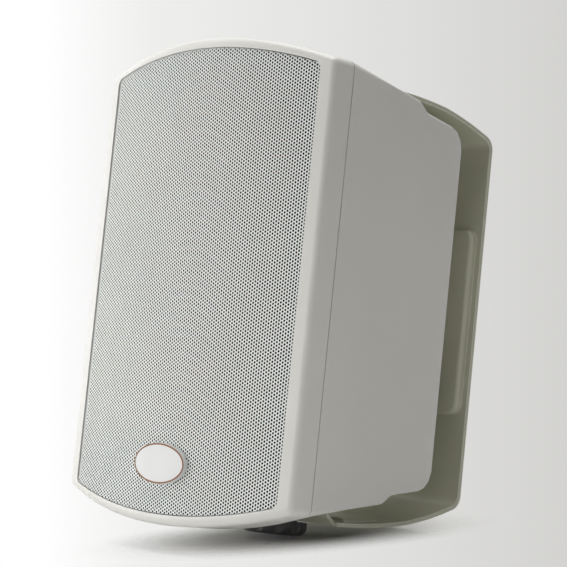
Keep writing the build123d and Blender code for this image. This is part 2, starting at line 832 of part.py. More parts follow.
# Rear terminals
with BuildPart() as terminal_cup:
    with BuildSketch(front_plane(rear_y, terminal_z)):
        Circle(cup_radius + cup_flange)
        with PolarLocations(cup_screw_circle, 4, 45):
            Circle(screw_hole, mode=Mode.SUBTRACT)
    extrude(amount=-cup_flange_thickness)
    with BuildSketch(front_plane(rear_y, terminal_z)):
        Circle(cup_radius)
    extrude(amount=cup_depth)
    with BuildSketch(front_plane(rear_y + cup_flange_thickness, terminal_z)):
        Circle(cup_radius - cup_wall)
    extrude(amount=cup_flange_thickness + cup_depth - cup_wall, mode=Mode.SUBTRACT)
    fillet(terminal_cup.faces().sort_by(Axis.Y)[-1].edges(), cup_flange_thickness / 3)
    with BuildSketch(front_plane(rear_y, terminal_z)):
        with GridLocations(post_pitch, 0, 2, 1):
            Circle(post_stud_radius + post_fit)
    extrude(amount=cup_depth, mode=Mode.SUBTRACT)
write(terminal_cup.part, "terminal_cup")

collar_y = cup_floor_y + cup_wall
post_base_y = collar_y + post_collar
with BuildPart() as terminal_studs:
    for base_y, radius, length in (
        (collar_y, post_radius, -post_collar),
        (post_base_y, post_stud_radius, post_collar + cup_wall + post_tail),
        (post_base_y, post_stud_radius, -post_length + post_collar),
        (cup_floor_y, post_nut_radius, post_nut_thickness),
    ):
        with BuildSketch(front_plane(base_y, terminal_z)):
            with GridLocations(post_pitch, 0, 2, 1):
                Circle(radius)
        extrude(amount=length)
write(terminal_studs.part, "terminal_studs")


def post_cap(x):
    """Ribbed cap that screws down on a terminal stud."""
    start_y = post_base_y + part_gap
    with BuildPart() as cap:
        with BuildSketch(front_plane(start_y, terminal_z)):
            with Locations((x, 0)):
                Circle(post_radius)
                with PolarLocations(post_radius, post_grips):
                    Circle(post_radius / 8, mode=Mode.SUBTRACT)
        extrude(amount=-post_length)
        with BuildSketch(front_plane(start_y, terminal_z)):
            with Locations((x, 0)):
                Circle(post_stud_radius + post_fit)
        extrude(amount=-post_length + post_collar - part_gap, mode=Mode.SUBTRACT)
    return cap.part


write(post_cap(-post_pitch / 2), "red_post")
write(post_cap(post_pitch / 2), "black_post")

with BuildPart() as terminal_screws:
    with BuildSketch(front_plane(rear_y + cup_flange_thickness, terminal_z)):
        with PolarLocations(cup_screw_circle, 4, 45):
            Circle(screw_head_radius)
    extrude(amount=-screw_head_height)
    with BuildSketch(front_plane(rear_y + cup_flange_thickness, terminal_z)):
        with PolarLocations(cup_screw_circle, 4, 45):
            Circle(screw_radius)
    extrude(amount=cup_flange_thickness + screw_bite)
write(terminal_screws.part, "terminal_screws")

# Damping pads on the side walls
pad_middle = pad_start + pad_length / 2
wall_lean = sqrt(1 + side_taper**2)
pad_x = seam_width / 2 - side_taper * pad_middle - (shell_wall + pad_gap) * wall_lean
with BuildPart() as damping_pads:
    with BuildSketch(Plane(origin=(pad_x, seam_y + pad_middle, cabinet_lift), x_dir=(-side_taper, 1, 0),
                           z_dir=(-1, -side_taper, 0))):
        Rectangle(pad_length, pad_height)
    extrude(amount=pad_thickness)
    mirror(about=Plane.YZ)
write(damping_pads.part, "damping_pads")


# Bracket
def arm_fall(y, radius):
    """Fall of an arm's curved face below its height at the pivot."""
    return radius - sqrt(radius**2 - (y - pivot_y) ** 2)


arm_front_y = pivot_y - ear_radius
plate_front_y = -bracket_wall
outer_end_z = arm_outer_z - arm_fall(0, arm_radius)
outer_middle_z = arm_outer_z - arm_fall(pivot_y / 2, arm_radius)
inner_radius = arm_radius - bracket_wall
inner_middle_y = (pivot_y + plate_front_y) / 2
inner_end_z = arm_inner_z - arm_fall(plate_front_y, inner_radius)
inner_middle_z = arm_inner_z - arm_fall(inner_middle_y, inner_radius)
wall_hole_z = panel_height / 2 + wall_hole_margin
panel_y = plate_front_y - panel_rise
arm_edge_y = pivot_y - arm_reach
pad_front_y = pivot_y + arm_pad_setback
pad_end_y = pivot_y + sqrt(2 * arm_radius * arm_pad_rise) - bracket_wall
lip_start = ear_radius + ear_blend
lip_end = arm_width / 2 - arm_end_round

with BuildPart() as wall_bracket:
    # Side view of the C, traced round its outer face and back along its inner face
    with BuildSketch(Plane.YZ):
        with BuildLine():
            Line((arm_front_y, arm_outer_z), (pivot_y, arm_outer_z))
            ThreePointArc((pivot_y, arm_outer_z), (pivot_y / 2, outer_middle_z), (0, outer_end_z))
            Line((0, outer_end_z), (0, -outer_end_z))
            ThreePointArc((0, -outer_end_z), (pivot_y / 2, -outer_middle_z), (pivot_y, -arm_outer_z))
            Line((pivot_y, -arm_outer_z), (arm_front_y, -arm_outer_z))
            Line((arm_front_y, -arm_outer_z), (arm_front_y, -arm_inner_z))
            Line((arm_front_y, -arm_inner_z), (pivot_y, -arm_inner_z))
            ThreePointArc((pivot_y, -arm_inner_z), (inner_middle_y, -inner_middle_z),
                          (plate_front_y, -inner_end_z))
            Line((plate_front_y, -inner_end_z), (plate_front_y, inner_end_z))
            ThreePointArc((plate_front_y, inner_end_z), (inner_middle_y, inner_middle_z),
                          (pivot_y, arm_inner_z))
            Line((pivot_y, arm_inner_z), (arm_front_y, arm_inner_z))
            Line((arm_front_y, arm_inner_z), (arm_front_y, arm_outer_z))
        make_face()
        fillet([v for v in vertices() if abs(v.X) < bracket_wall / 2], bend_round)
        fillet([v for v in vertices() if abs(v.X - plate_front_y) < bracket_wall / 4
                and abs(v.Y) < inner_end_z + bracket_wall / 2], bend_round - bracket_wall)
    extrude(amount=bracket_width / 2, both=True)
    # Flat raised pads that carry the pivots, on the arms' inner faces
    for side in (-1, 1):
        with BuildSketch(Plane.XY.offset(side * arm_pad_z)):
            with Locations((0, (pad_front_y + pad_end_y) / 2)):
                Rectangle(arm_pad_width, pad_end_y - pad_front_y)
            with Locations((0, pivot_y)):
                Circle(washer_radius + boss_margin)
        extrude(amount=side * arm_pad_rise)
    pad_edges = wall_bracket.edges().filter_by(Axis.Y)
    fillet([edge for edge in pad_edges if abs(abs(edge.center().X) - arm_pad_width / 2) < glue_gap
            and abs(abs(edge.center().Z) - arm_pad_z) < glue_gap], arm_pad_round)
    # Plan view: the arms narrow forward and end in a round ear at the pivot
    with BuildSketch(Plane.XY):
        closed_profile((-bracket_width / 2, 0), (-bracket_width / 2, -taper_start),
                       (-arm_width / 2, arm_edge_y), (arm_width / 2, arm_edge_y),
                       (bracket_width / 2, -taper_start), (bracket_width / 2, 0))
        fillet(vertices().group_by(Axis.Y)[0], arm_end_round)
        with Locations((0, pivot_y)):
            Circle(ear_radius)
        fillet([v for v in vertices() if abs(v.X) < ear_radius + ear_blend], ear_blend)
    extrude(amount=beyond, both=True, mode=Mode.INTERSECT)
    # Raised panel on the wall plate, hollow towards the wall
    with BuildSketch(front_plane(plate_front_y, 0)):
        RectangleRounded(panel_width, panel_height, panel_corner)
    extrude(amount=panel_rise)
    flat_faces = wall_bracket.faces().filter_by(Axis.Y)
    panel_face = flat_faces.sort_by(lambda face: abs(face.center().Y - panel_y))[0]
    fillet(panel_face.edges(), panel_round)
    with BuildSketch(front_plane(0, 0)):
        RectangleRounded(panel_width - 2 * bracket_wall, panel_height - 2 * bracket_wall,
                         panel_corner - bracket_wall)
    extrude(amount=panel_rise, mode=Mode.SUBTRACT)
    with BuildSketch(front_plane(0, 0)):
        with GridLocations(2 * wall_hole_x, 2 * wall_hole_z, 2, 2):
            Circle(wall_hole_radius)
    extrude(amount=bracket_wall, mode=Mode.SUBTRACT)
    for side in (-1, 1):
        with BuildSketch(end_plane(side, arm_pad_z)):
            Circle(stud_passage)
        extrude(amount=arm_pad_rise + bracket_wall, mode=Mode.SUBTRACT)
    # Lips turned up at the front edge of the lower arm, which carries the weight
    for side in (-1, 1):
        with BuildSketch(Plane.YZ.offset(side * lip_start)):
            closed_profile((arm_edge_y + bracket_wall, -arm_outer_z), (arm_edge_y, -arm_outer_z),
                           (arm_edge_y - lip_run, lip_rise - arm_outer_z),
                           (arm_edge_y - lip_run, lip_rise - arm_inner_z),
                           (arm_edge_y, -arm_inner_z), (arm_edge_y + bracket_wall, -arm_inner_z))
        extrude(amount=side * (lip_end - lip_start))
write(wall_bracket.part, "wall_bracket")


# Clamp at one end of the pivot: knob, stud, washer and insert
def clamp_knob(side):
    """Round fluted knob that draws its arm against the cabinet."""
    rim_start = knob_gap + knob_hub_height
    rim_end = rim_start + knob_grip_height
    shoulder = knob_radius - (knob_height - rim_end)
    bend = (knob_height - rim_end) * (1 - sqrt(0.5))
    with BuildPart() as knob:
        with BuildSketch(pivot_plane(side, arm_outer_z)):
            with BuildLine():
                Polyline((0, knob_height - knob_skin), (stud_bore, knob_height - knob_skin),
                         (stud_bore, knob_gap), (knob_hub, knob_gap), (knob_hub, rim_start),
                         (knob_radius, rim_start), (knob_radius, rim_end))
                ThreePointArc((knob_radius, rim_end), (knob_radius - bend, knob_height - bend),
                              (shoulder, knob_height))
                Polyline((shoulder, knob_height), (0, knob_height), (0, knob_height - knob_skin))
            make_face()
        revolve(axis=pivot_axis)
        with BuildSketch(end_plane(side, arm_outer_z)):
            with PolarLocations(knob_radius + knob_grip_radius - knob_grip_depth, knob_grips):
                Circle(knob_grip_radius)
        extrude(amount=knob_height, mode=Mode.SUBTRACT)
    return knob.part


def clamp_stud(side):
    """Steel stud from inside the knob, through the arm and washer, into the insert."""
    outer_end = arm_outer_z + knob_height - knob_skin - stud_fit
    with BuildPart() as stud:
        with BuildSketch(end_plane(side, outer_end)):
            Circle(stud_radius)
        extrude(amount=-(outer_end - seat_z + stud_reach))
    return stud.part


def friction_washer(side):
    """Rubber washer between the cabinet's seat and the arm."""
    with BuildPart() as washer:
        with BuildSketch(end_plane(side, seat_z)):
            Circle(washer_radius)
            Circle(stud_passage, mode=Mode.SUBTRACT)
        extrude(amount=washer_thickness)
    return washer.part


def threaded_insert(side):
    """Brass insert sunk in the cabinet behind the washer's seat."""
    with BuildPart() as insert:
        with BuildSketch(end_plane(side, seat_z)):
            Circle(insert_radius)
            Circle(stud_bore, mode=Mode.SUBTRACT)
        extrude(amount=-insert_length)
    return insert.part


for side, end in ((1, "top"), (-1, "bottom")):
    write(clamp_knob(side), f"{end}_knob")
    write(clamp_stud(side), f"{end}_stud")
    write(friction_washer(side), f"{end}_washer")
    write(threaded_insert(side), f"{end}_insert")
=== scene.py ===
import json
import math

import bpy
from mathutils import Matrix, Vector


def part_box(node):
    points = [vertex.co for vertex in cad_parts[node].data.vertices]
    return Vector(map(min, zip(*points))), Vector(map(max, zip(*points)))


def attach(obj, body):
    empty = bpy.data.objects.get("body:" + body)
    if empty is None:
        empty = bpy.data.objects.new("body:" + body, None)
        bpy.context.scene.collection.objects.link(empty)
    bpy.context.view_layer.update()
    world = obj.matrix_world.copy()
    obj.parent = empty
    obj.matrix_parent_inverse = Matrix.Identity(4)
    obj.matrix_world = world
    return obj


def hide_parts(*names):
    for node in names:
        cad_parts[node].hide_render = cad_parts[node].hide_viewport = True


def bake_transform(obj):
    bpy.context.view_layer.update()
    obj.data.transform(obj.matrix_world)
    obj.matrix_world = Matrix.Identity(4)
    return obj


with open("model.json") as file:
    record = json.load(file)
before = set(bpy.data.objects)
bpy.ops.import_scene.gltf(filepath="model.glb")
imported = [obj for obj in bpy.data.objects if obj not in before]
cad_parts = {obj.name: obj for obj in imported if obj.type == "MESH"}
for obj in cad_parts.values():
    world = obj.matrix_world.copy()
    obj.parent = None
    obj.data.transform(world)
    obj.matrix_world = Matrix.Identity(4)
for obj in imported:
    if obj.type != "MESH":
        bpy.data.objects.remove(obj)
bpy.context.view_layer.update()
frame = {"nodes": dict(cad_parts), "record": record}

nodes = frame["nodes"]
scene = bpy.context.scene

# Shapes are written in millimetres, and materials, floor and lamps in metres
MM = 0.001


# Materials
NOISE_LOW, NOISE_HIGH = 0.3, 0.7  # nearly all values of a noise lie between these
ONE_BAND = 0.314  # scale at which a wave texture has one band per metre
GRAIN_DEPTH = 0.0002


class Nodes:
    """Node tree of one new material, with the Principled shader already in it."""

    def __init__(self, name):
        self.material = bpy.data.materials.new(name)
        self.material.use_nodes = True
        self.tree = self.material.node_tree
        self.shader = self.tree.nodes["Principled BSDF"]
        self.place = self.add("ShaderNodeTexCoord").outputs["Object"]

    def add(self, kind, **values):
        node = self.tree.nodes.new(kind)
        for key, value in values.items():
            setattr(node, key, value)
        return node

    def link(self, output, node, socket):
        self.tree.links.new(output, node.inputs[socket])

    def noise(self, scale, detail=3.0, roughness=0.55):
        node = self.add("ShaderNodeTexNoise")
        node.inputs["Scale"].default_value = scale
        node.inputs["Detail"].default_value = detail
        node.inputs["Roughness"].default_value = roughness
        self.link(self.place, node, "Vector")
        return node.outputs["Fac"]

    def bands(self, direction, pitch, distortion=0.0):
        node = self.add("ShaderNodeTexWave", bands_direction=direction)
        node.inputs["Scale"].default_value = ONE_BAND / pitch
        node.inputs["Distortion"].default_value = distortion
        self.link(self.place, node, "Vector")
        return node.outputs["Fac"]

    def cells(self, scale, **values):
        node = self.add("ShaderNodeTexVoronoi", **values)
        node.inputs["Scale"].default_value = scale
        self.link(self.place, node, "Vector")
        return node.outputs["Distance"]

    def ramp(self, factor, *stops):
        node = self.add("ShaderNodeValToRGB")
        elements = node.color_ramp.elements
        while len(elements) < len(stops):
            elements.new(0.5)
        for element, (position, colour) in zip(elements, stops):
            element.position = position
            element.color = (*colour, 1.0)
        self.link(factor, node, "Fac")
        return node.outputs["Color"]

    def spread(self, factor, low, high):
        node = self.add("ShaderNodeMapRange")
        node.inputs["From Min"].default_value = NOISE_LOW
        node.inputs["From Max"].default_value = NOISE_HIGH
        node.inputs["To Min"].default_value = low
        node.inputs["To Max"].default_value = high
        self.link(factor, node, "Value")
        return node.outputs["Result"]

    def bump(self, height, strength, distance, base=None):
        node = self.add("ShaderNodeBump")
        node.inputs["Strength"].default_value = strength
        node.inputs["Distance"].default_value = distance
        self.link(height, node, "Height")
        if base is not None:
            self.link(base, node, "Normal")
        return node.outputs["Normal"]

    def soft_edge(self, radius):
        node = self.add("ShaderNodeBevel", samples=6)
        node.inputs["Radius"].default_value = radius
        return node.outputs["Normal"]

    def painted_edge_highlight(self, tone, softened, colour):
        """The tone with a painted highlight: paler where the softened normal leaves the face's own.
        """
        own = self.add("ShaderNodeNewGeometry").outputs["Normal"]
        along = self.add("ShaderNodeVectorMath", operation="DOT_PRODUCT")
        self.link(softened, along, 0)
        self.link(own, along, 1)
        highlight_share = self.add("ShaderNodeMapRange")
        highlight_share.inputs["From Min"].default_value = 1.0
        highlight_share.inputs["From Max"].default_value = 0.9
        self.link(along.outputs["Value"], highlight_share, "Value")
        mix = self.add("ShaderNodeMix", data_type="RGBA")
        mix.inputs["B"].default_value = (*colour, 1.0)
        self.link(highlight_share.outputs["Result"], mix, "Factor")
        self.link(tone, mix, "A")
        return mix.outputs["Result"]

    def finish(self, colour, normal, roughness):
        """Link what the shader gets; a roughness that doesn't vary is a plain number."""
        self.link(colour, self.shader, "Base Color")
        self.link(normal, self.shader, "Normal")
        if isinstance(roughness, float):
            self.shader.inputs["Roughness"].default_value = roughness
        else:
            self.link(roughness, self.shader, "Roughness")
        return self.material


def shade(colour, factor):
    return tuple(channel * factor for channel in colour)


def moulded(name, colour, roughness=0.42, grain=0.10, edge=0.0, coat=0.0, tint=None,
            mottle=0.035, texture=2200.0, edge_highlight=None):
    """Moulded plastic or paint: faint colour drift, fine grain, softened edges and a painted
    highlight on them.
    """
    n = Nodes(name)
    other = tint or shade(colour, 1.0 - mottle)
    tone = n.ramp(n.noise(14.0, 4.0), (0.32, other), (0.68, colour))
    base = n.soft_edge(edge) if edge else None
    # Painted highlight: the edges get a paler tone that stands in for light catching them
    if edge_highlight:
        tone = n.painted_edge_highlight(tone, base, edge_highlight)
    if coat:
        n.shader.inputs["Coat Weight"].default_value = coat
        n.shader.inputs["Coat Roughness"].default_value = 0.12
    return n.finish(
        tone,
        n.bump(n.noise(texture, 2.0), grain, GRAIN_DEPTH, base),
        n.spread(n.noise(60.0, 3.0), roughness - 0.05, roughness + 0.05),
    )


def metal(name, colour, roughness):
    """Bare metal with a fine grain and slightly uneven polish."""
    n = Nodes(name)
    n.shader.inputs["Metallic"].default_value = 1.0
    return n.finish(
        n.ramp(n.noise(90.0, 4.0), (0.35, shade(colour, 0.86)), (0.66, colour)),
        n.bump(n.noise(1500.0, 2.0), 0.08, GRAIN_DEPTH),
        n.spread(n.noise(420.0, 2.0), roughness - 0.07, roughness + 0.09),
    )


def rubber(name, colour, roughness=0.72):
    """Matte rubber or ferrite with a dusty bloom."""
    n = Nodes(name)
    return n.finish(
        n.ramp(n.noise(55.0, 5.0), (0.34, colour), (0.72, shade(colour, 1.9))),
        n.bump(n.noise(1300.0, 3.0), 0.22, 0.0003),
        n.spread(n.noise(160.0, 3.0), roughness - 0.08, roughness + 0.08),
    )


def cellular(name, colour, cell=900.0, depth=0.9):
    """Open foam or wadding: dark pores between lighter cell walls."""
    n = Nodes(name)
    n.shader.inputs["Specular IOR Level"].default_value = 0.1
    walls = n.cells(cell)
    tone = n.ramp(walls, (0.15, shade(colour, 0.35)), (0.62, colour))
    return n.finish(tone, n.bump(walls, depth, 0.0006), 0.95)


def woven(name, colour, pitch=0.0009):
    """Resin-treated cloth: two crossing sets of threads."""
    n = Nodes(name)
    cross = n.add("ShaderNodeMath", operation="MAXIMUM")
    for socket, direction in enumerate("XZ"):
        n.link(n.bands(direction, pitch, 0.6), cross, socket)
    threads = cross.outputs["Value"]
    tone = n.ramp(threads, (0.2, shade(colour, 0.55)), (0.9, colour))
    return n.finish(tone, n.bump(threads, 0.5, 0.0003), 0.85)


def wound(name, colour, pitch=0.0011):
    """Coil of enamelled wire: ridges across the winding direction."""
    n = Nodes(name)
    n.shader.inputs["Metallic"].default_value = 0.85
    wires = n.bands("Y", pitch)
    tone = n.ramp(wires, (0.1, shade(colour, 0.5)), (0.75, colour))
    return n.finish(tone, n.bump(wires, 0.7, 0.0004), 0.34)


def laminate(name, colour):
    """Green circuit board with paler copper areas under the resist."""
    n = Nodes(name)
    areas = n.cells(70.0, distance="CHEBYCHEV")
    return n.finish(
        n.ramp(areas, (0.30, shade(colour, 1.35)), (0.40, colour)),
        n.bump(areas, 0.15, GRAIN_DEPTH),
        n.spread(n.noise(300.0), 0.3, 0.42),
    )


WHITE = (0.79, 0.78, 0.74)
looks = {
    moulded: {
        # Bracket: its tone, darker and more olive than the cabinet's white, is partly painted
        # shade, and its paler edges are a painted highlight
        "bracket_plastic": dict(colour=(0.58, 0.58, 0.46), roughness=0.19, grain=0.02, edge=0.0009,
                                tint=(0.55, 0.55, 0.43), edge_highlight=(0.84, 0.83, 0.74)),
        # The knobs are near black partly as painted shade, so that the lower one sinks into the
        # shadow under the cabinet
        "knob_plastic": dict(colour=(0.07, 0.07, 0.072), roughness=0.45, mottle=0.15),
        "cabinet_plastic": dict(colour=WHITE, roughness=0.46, grain=0.3, edge=0.0006,
                                texture=1000.0),
        "front_plastic": dict(colour=shade(WHITE, 1.02), roughness=0.42, grain=0.09, edge=0.0005),
        "grille_paint": dict(colour=(0.93, 0.955, 0.935), roughness=0.5, grain=0.05),
        "badge_plastic": dict(colour=(0.76, 0.76, 0.75), roughness=0.42, grain=0.03, edge=0.0004),
        "badge_rim_copper": dict(colour=(0.24, 0.075, 0.008), roughness=0.45, grain=0.04,
                                 mottle=0.15),
        "basket_plastic": dict(colour=(0.045, 0.045, 0.047), roughness=0.5, grain=0.2, mottle=0.2),
        "cone_plastic": dict(colour=(0.075, 0.076, 0.08), roughness=0.45, grain=0.3, mottle=0.25),
        "cap_plastic": dict(colour=(0.06, 0.06, 0.065), roughness=0.25, grain=0.05, coat=0.4,
                            mottle=0.2),
        "horn_plastic": dict(colour=(0.04, 0.04, 0.042), roughness=0.45, grain=0.12, mottle=0.2),
        "cup_plastic": dict(colour=(0.035, 0.035, 0.037), roughness=0.45, grain=0.25, edge=0.0004,
                            mottle=0.25),
        "post_red": dict(colour=(0.52, 0.035, 0.03), roughness=0.3, grain=0.05, edge=0.0003,
                         coat=0.3, mottle=0.12),
        "post_black": dict(colour=(0.025, 0.025, 0.027), roughness=0.3, grain=0.05, edge=0.0003,
                           coat=0.3, mottle=0.2),
        "resistor_ceramic": dict(colour=(0.72, 0.71, 0.67), roughness=0.75, grain=0.35),
        "capacitor_plastic": dict(colour=(0.62, 0.46, 0.10), roughness=0.28, grain=0.05, coat=0.4,
                                  mottle=0.1),
    },
    metal: {
        "stud_steel": dict(colour=(0.60, 0.60, 0.61), roughness=0.30),
        "screw_steel": dict(colour=(0.52, 0.52, 0.53), roughness=0.34),
        "motor_steel": dict(colour=(0.50, 0.50, 0.51), roughness=0.42),
        "insert_brass": dict(colour=(0.66, 0.47, 0.19), roughness=0.34),
        "terminal_brass": dict(colour=(0.74, 0.55, 0.23), roughness=0.24),
        "dome_metal": dict(colour=(0.66, 0.66, 0.68), roughness=0.28),
    },
    rubber: {
        "magnet_ferrite": dict(colour=(0.055, 0.055, 0.057), roughness=0.6),
        "washer_rubber": dict(colour=(0.022, 0.022, 0.022)),
        "gasket_rubber": dict(colour=(0.018, 0.018, 0.018), roughness=0.85),
        "surround_rubber": dict(colour=(0.025, 0.025, 0.026), roughness=0.6),
    },
    cellular: {
        "foam_black": dict(colour=(0.006, 0.006, 0.006)),
        "damping_wool": dict(colour=(0.72, 0.71, 0.68), cell=500.0, depth=0.6),
    },
    woven: {"spider_cloth": dict(colour=(0.50, 0.31, 0.11))},
    wound: {
        "coil_metal": dict(colour=(0.62, 0.33, 0.18)),
        "inductor_copper": dict(colour=(0.58, 0.25, 0.11)),
    },
    laminate: {"board_laminate": dict(colour=(0.035, 0.16, 0.06))},
}
finishes = {name: make(name, **look) for make, rows in looks.items() for name, look in rows.items()}
slot_of = {entry["node"]: entry["material_slot"] for entry in frame["record"]["subparts"]}
for node_name, obj in nodes.items():
    for material_slot in obj.material_slots:
        material_slot.material = finishes[slot_of[node_name]]


# Pieces
def add_mesh(name, points, faces, material, body):
    """New mesh piece that rides on a body, or on none where no body is given."""
    mesh = bpy.data.meshes.new(name)
    mesh.from_pydata(points, [], faces)
    mesh.update()
    mesh.materials.append(material)
    piece = bpy.data.objects.new(name, mesh)
    scene.collection.objects.link(piece)
    if body:
        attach(piece, body)
    return piece


def tube_faces(rounds, count, closed):
    """Faces between rounds of count points each, which close on themselves or stay open."""
    faces = []
    for step in range(rounds if closed else rounds - 1):
        after = (step + 1) % rounds
        for side in range(count):
            beside = (side + 1) % count
            faces.append((step * count + side, step * count + beside,
                          after * count + beside, after * count + side))
    return faces


# Perforated grille, in place of the closed sheet of the solids
grille_low, grille_high = (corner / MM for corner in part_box("grille"))
CREST_Y = grille_low.y
LIFT = (grille_low.z + grille_high.z) / 2
CURVE = 383.0
SHEET = 0.12
HALF_WIDTH = 88.0
HALF_HEIGHT = 122.8
CROWN = 12.0
CORNER = 4.0
CORNER_STEPS = 8
CROWN_STEPS = 30
RETURN = 2.6
PITCH = 2.0
COLUMN = PITCH * math.sqrt(3) / 2
HOLE = 0.72
STRIPS = 4
SLIVER = 1e-4
RING = [(1, 0), (1, 1), (0, 1), (-1, 1), (-1, 0), (-1, -1), (0, -1), (1, -1)]
SIDES = len(RING)


def on_sheet(u, z, depth):
    """Point of the curved sheet from its flat place: u along the curve, depth behind its face."""
    angle = u / CURVE
    radius = CURVE - depth
    y = CREST_Y + CURVE - radius * math.cos(angle)
    return (MM * radius * math.sin(angle), MM * y, MM * (z + LIFT))


def along_curve(x):
    return CURVE * math.asin(x / CURVE)


def grille_edge():
    """Outline of the sheet, flat, anticlockwise: straight sides, arched ends, round corners."""
    arc = (HALF_WIDTH**2 + CROWN**2) / (2 * CROWN)
    arc_z = HALF_HEIGHT + CROWN - arc
    corner_x = HALF_WIDTH - CORNER
    corner_z = arc_z + math.sqrt((arc - CORNER) ** 2 - corner_x**2)
    turn = math.atan2(corner_z - arc_z, corner_x)
    quarter = []
    for step in range(CORNER_STEPS + 1):
        angle = turn * step / CORNER_STEPS
        x, z = corner_x + CORNER * math.cos(angle), corner_z + CORNER * math.sin(angle)
        quarter.append((x, z))
    for step in range(1, CROWN_STEPS + 1):
        angle = turn + (math.pi / 2 - turn) * step / CROWN_STEPS
        quarter.append((arc * math.cos(angle), arc_z + arc * math.sin(angle)))
    top = quarter + [(-x, z) for x, z in reversed(quarter[:-1])]
    outline = top + [(-x, -z) for x, z in top]
    return [(along_curve(x), z) for x, z in outline]


def edges_of(polygon):
    return zip(polygon, polygon[1:] + polygon[:1])


def inside(point, outline):
    x, z = point
    return all(
        (bx - ax) * (z - az) - (bz - az) * (x - ax) >= 0
        for (ax, az), (bx, bz) in edges_of(outline)
    )


def clip(polygon, outline):
    """Part of a convex polygon inside a convex outline that runs anticlockwise."""
    for (ax, az), (bx, bz) in edges_of(outline):
        if not polygon:
            break
        sides = [(bx - ax) * (z - az) - (bz - az) * (x - ax) for x, z in polygon]
        kept = []
        for index, (point, side) in enumerate(zip(polygon, sides)):
            before, side_before = polygon[index - 1], sides[index - 1]
            if side * side_before < 0:
                share = side_before / (side_before - side)
                kept.append(tuple(p + share * (q - p) for p, q in zip(before, point)))
            if side >= 0:
                kept.append(point)
        polygon = kept
    return [point for index, point in enumerate(polygon)
            if math.dist(point, polygon[index - 1]) > SLIVER]


def flat_area(polygon):
    """Signed area of a polygon on the flat sheet, in square millimetres."""
    return sum(ax * bz - bx * az for (ax, az), (bx, bz) in edges_of(polygon)) / 2


def perforated_strip(first, last, outline):
    """Points and faces of the columns first to last, each cell a square of sheet round its hole.

    A cell that the outline crosses is cut along it, without the walls of its hole.
    """
    points, faces, shared = [], [], {}

    def corner(iu, iz):
        if (iu, iz) not in shared:
            shared[iu, iz] = len(points)
            points.append(on_sheet(iu * COLUMN / 2, iz * PITCH / 2, 0.0))
        return shared[iu, iz]

    rows = int((HALF_HEIGHT + CROWN) / PITCH) + 2
    for column in range(first, last):
        for row in range(-rows, rows + 1):
            iu, iz = 2 * column, 2 * row + column % 2
            u, z = iu * COLUMN / 2, iz * PITCH / 2
            ring = [(iu + du, iz + dz) for du, dz in RING]
            flat = [(a * COLUMN / 2, b * PITCH / 2) for a, b in ring]
            turns = [2 * math.pi * step / SIDES for step in range(SIDES)]
            hole = [(u + HOLE * math.cos(turn), z + HOLE * math.sin(turn)) for turn in turns]
            whole = [inside(point, outline) for point in flat]
            if all(whole):
                outer = [corner(a, b) for a, b in ring]
                start = len(points)
                points.extend(on_sheet(*point, depth) for depth in (0.0, SHEET) for point in hole)
                for step in range(SIDES):
                    after = (step + 1) % SIDES
                    near, next_near = start + step, start + after
                    faces.append((outer[step], outer[after], next_near, near))
                    faces.append((near, next_near, next_near + SIDES, near + SIDES))
            elif any(whole):
                for step in range(SIDES):
                    after = (step + 1) % SIDES
                    cut = clip([flat[step], flat[after], hole[after], hole[step]], outline)
                    if abs(flat_area(cut)) > SLIVER:
                        start = len(points)
                        points.extend(on_sheet(*point, 0.0) for point in cut)
                        faces.append(tuple(range(start, start + len(cut))))
    return points, faces


edge = grille_edge()
columns = int(along_curve(HALF_WIDTH) / COLUMN) + 1
limits = [round(-columns + (2 * columns + 1) * strip / STRIPS) for strip in range(STRIPS + 1)]
for strip in range(STRIPS):
    strip_points, strip_faces = perforated_strip(limits[strip], limits[strip + 1], edge)
    piece = add_mesh(f"grille_sheet_{strip + 1}", strip_points, strip_faces,
                     finishes["grille_paint"], "cabinet")
    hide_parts("grille")

return_points = [on_sheet(u, z, depth) for u, z in edge for depth in (0.0, RETURN)]
return_faces = []
for index in range(len(edge)):
    a, b = 2 * index, 2 * ((index + 1) % len(edge))
    return_faces.append((a, a + 1, b + 1, b))
grille_return = add_mesh("grille_return", return_points, return_faces,
                         finishes["grille_paint"], "cabinet")
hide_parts("grille")

# Thin rim line on the plain oval plate, as (inset from its edge, height over its face)
badge_low, badge_high = (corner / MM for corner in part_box("badge"))
PLATE = CREST_Y - badge_low.y
PLATE_Z = (badge_low.z + badge_high.z) / 2 - LIFT
PLATE_HALF_WIDTH, PLATE_HALF_HEIGHT = 21.75, 11.8
RIM_PROFILE = [(0.3, -0.2), (0.3, 0.06), (0.75, 0.12), (1.2, 0.06), (1.2, -0.2)]
RIM_STEPS = 96
rim_points = []
for step in range(RIM_STEPS):
    angle = 2 * math.pi * step / RIM_STEPS
    for inset, proud in RIM_PROFILE:
        x = (PLATE_HALF_WIDTH - inset) * math.cos(angle)
        z = PLATE_Z + (PLATE_HALF_HEIGHT - inset) * math.sin(angle)
        rim_points.append(on_sheet(along_curve(x), z, -PLATE - proud))
rim_faces = [(a, d, c, b) for a, b, c, d in tube_faces(RIM_STEPS, len(RIM_PROFILE), True)]
badge_rim = add_mesh("badge_rim", rim_points, rim_faces, finishes["badge_rim_copper"], "cabinet")
for polygon in badge_rim.data.polygons:
    polygon.use_smooth = True

# Soft rings of the woofer, in sectors, between the cone on the inside and the basket on the outside
SECTORS = 16
SECTOR_STEPS = 6
ARCH_STEPS = 10


def outward(angle):
    return Vector((math.cos(angle), 0.0, math.sin(angle)))


